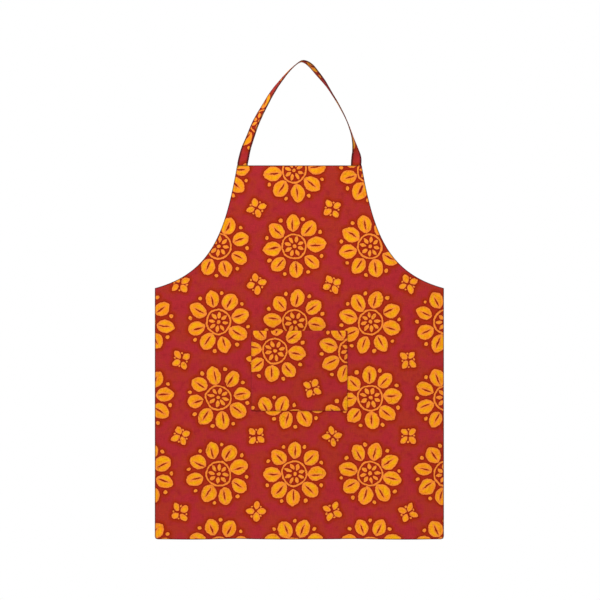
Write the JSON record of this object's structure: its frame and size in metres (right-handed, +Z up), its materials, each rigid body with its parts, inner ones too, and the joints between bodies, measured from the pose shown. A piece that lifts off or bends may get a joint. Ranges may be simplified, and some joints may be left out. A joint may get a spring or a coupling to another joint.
{
  "type": "kitchen bib apron",
  "caption": "Printed cotton bib apron with curved armholes, a neck loop, a patch pocket and waist ties, hanging by its loop.",
  "frame": {"origin": "where a peg holds the neck strap: the underside of the strap at its highest part, above the panel's centre line", "axes": "+Z up with the apron hanging, +X to the right of someone who looks at its front, front facing -Y"},
  "size_m": [0.686, 0.0299, 1.1362],
  "materials": {
    "printed_cotton": "woven cotton, matt, printed gold on red",
    "pocket_cotton": "the same printed cotton, cut from another place",
    "strap_cotton": "the same printed cotton, folded into a band"
  },
  "bodies": {
    "root": {"apron_panel": "printed_cotton", "pocket": "pocket_cotton", "neck_strap": "strap_cotton", "waist_tie_left": "strap_cotton", "waist_tie_right": "strap_cotton"}
  },
  "joints": []
}
